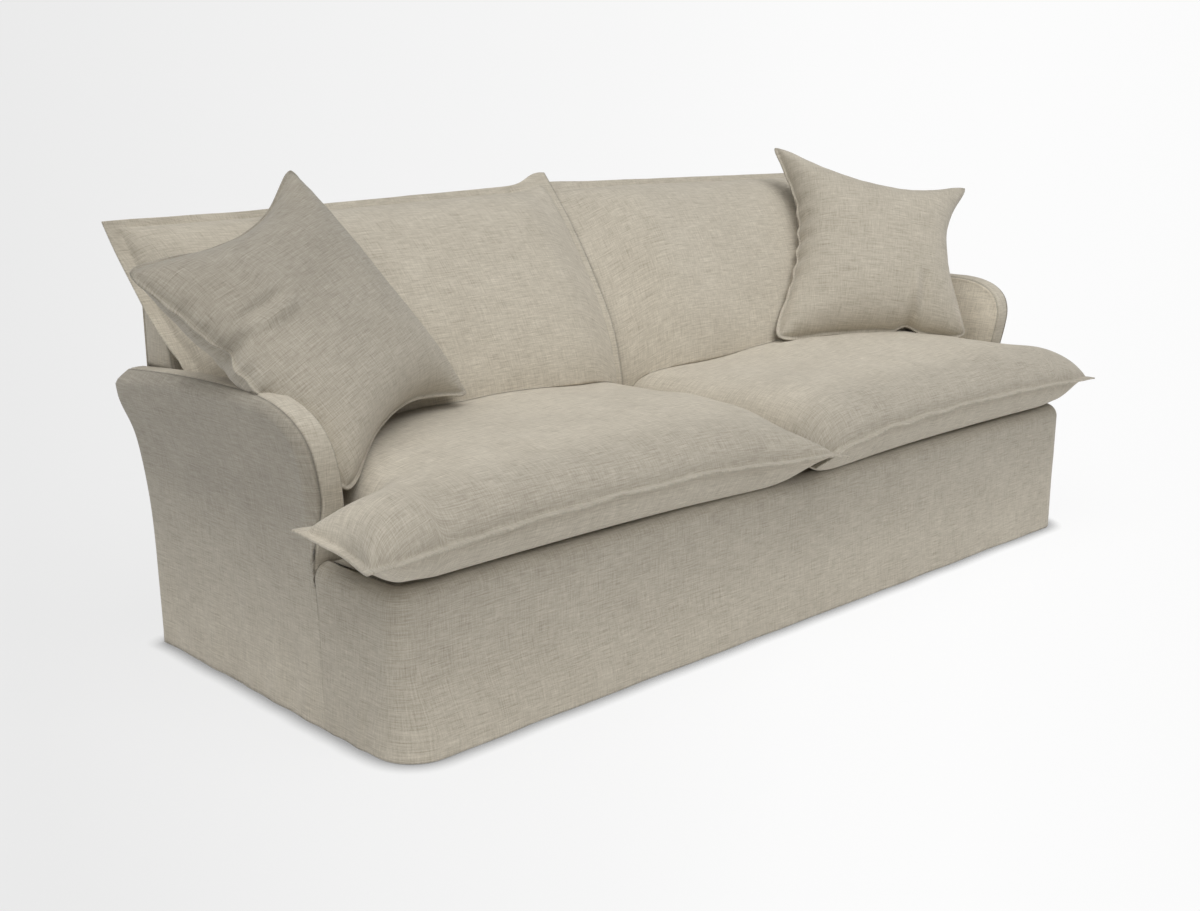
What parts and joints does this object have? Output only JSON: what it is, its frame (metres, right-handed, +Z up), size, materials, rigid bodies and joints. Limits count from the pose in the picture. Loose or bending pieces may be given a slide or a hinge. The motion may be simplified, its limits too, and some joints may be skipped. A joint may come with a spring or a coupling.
{
  "type": "camelback sofa",
  "caption": "Slipcovered sofa with flared arms, gently arched back, T-shaped flanged seat cushions, leaning back cushions and square throw pillows on a sprung hardwood frame.",
  "frame": {"origin": "middle of the floor under the whole sofa, cushions and pillows included", "axes": "+X along the sofa to the sitter's left, seen from the front to the right; +Y from front to back; +Z up"},
  "size_m": [2.434, 0.912, 0.9684],
  "materials": {
    "slipcover": "oatmeal linen with slubs, matt",
    "seat_linen": "oatmeal linen with slubs, matt",
    "back_linen": "oatmeal linen with slubs, matt",
    "pillow_linen": "oatmeal linen with slubs, matt",
    "hardwood": "planed, unfinished",
    "spring_steel": "drawn wire",
    "padding": "foam wrapped in felt",
    "webbing": "woven jute"
  },
  "bodies": {
    "sofa_body": {"front_rail": "hardwood", "back_rail": "hardwood", "seat_rear_rail": "hardwood", "side_rail_left": "hardwood", "side_rail_right": "hardwood", "front_corner_post_left": "hardwood", "front_corner_post_right": "hardwood", "rear_corner_block_left": "hardwood", "rear_corner_block_right": "hardwood", "seat_stretcher_left": "hardwood", "seat_stretcher_right": "hardwood", "foot_front_left": "hardwood", "foot_front_centre": "hardwood", "foot_front_right": "hardwood", "foot_rear_left": "hardwood", "foot_rear_centre": "hardwood", "foot_rear_right": "hardwood", "arm_top_rail_left": "hardwood", "arm_top_rail_right": "hardwood", "arm_front_stump_left": "hardwood", "arm_front_stump_right": "hardwood", "arm_rear_stump_left": "hardwood", "arm_rear_stump_right": "hardwood", "back_post_left": "hardwood", "back_post_right": "hardwood", "back_centre_upright": "hardwood", "back_lower_rail": "hardwood", "back_top_rail": "hardwood", "seat_spring_1": "spring_steel", "seat_spring_2": "spring_steel", "seat_spring_3": "spring_steel", "seat_spring_4": "spring_steel", "seat_spring_5": "spring_steel", "seat_spring_6": "spring_steel", "seat_spring_7": "spring_steel", "seat_spring_8": "spring_steel", "seat_spring_9": "spring_steel", "seat_spring_10": "spring_steel", "back_webbing": "webbing", "deck_pad": "padding", "deck_cover": "slipcover", "arm_pad_left": "padding", "arm_pad_right": "padding", "front_border": "slipcover", "outer_arm_left": "slipcover", "outer_arm_right": "slipcover", "arm_band_left": "slipcover", "arm_band_right": "slipcover", "inside_arm_left": "slipcover", "inside_arm_right": "slipcover", "inside_back": "slipcover", "back_pad": "padding", "back_top_band": "slipcover", "outside_back": "slipcover"},
    "left_seat": {"seat_cushion_left": "seat_linen"},
    "right_seat": {"seat_cushion_right": "seat_linen"},
    "left_back": {"back_cushion_left": "back_linen"},
    "right_back": {"back_cushion_right": "back_linen"},
    "left_pillow": {"throw_pillow_left": "pillow_linen"},
    "right_pillow": {"throw_pillow_right": "pillow_linen"}
  },
  "joints": [
    {"name": "left_seat_lift", "type": "slide", "parent": "sofa_body", "child": "left_seat", "axis": [0, 0, 1], "range_m": [0, 0.6]},
    {"name": "right_seat_lift", "type": "slide", "parent": "sofa_body", "child": "right_seat", "axis": [0, 0, 1], "range_m": [0, 0.6]},
    {"name": "left_back_lift", "type": "slide", "parent": "left_seat", "child": "left_back", "axis": [0, -0.2, 0.9798], "range_m": [0, 0.55]},
    {"name": "right_back_lift", "type": "slide", "parent": "right_seat", "child": "right_back", "axis": [0, -0.2, 0.9798], "range_m": [0, 0.55]},
    {"name": "left_pillow_lift", "type": "slide", "parent": "left_back", "child": "left_pillow", "axis": [0, -0.6, 0.8], "range_m": [0, 0.65]},
    {"name": "right_pillow_lift", "type": "slide", "parent": "right_back", "child": "right_pillow", "axis": [0, -0.6, 0.8], "range_m": [0, 0.65]}
  ]
}
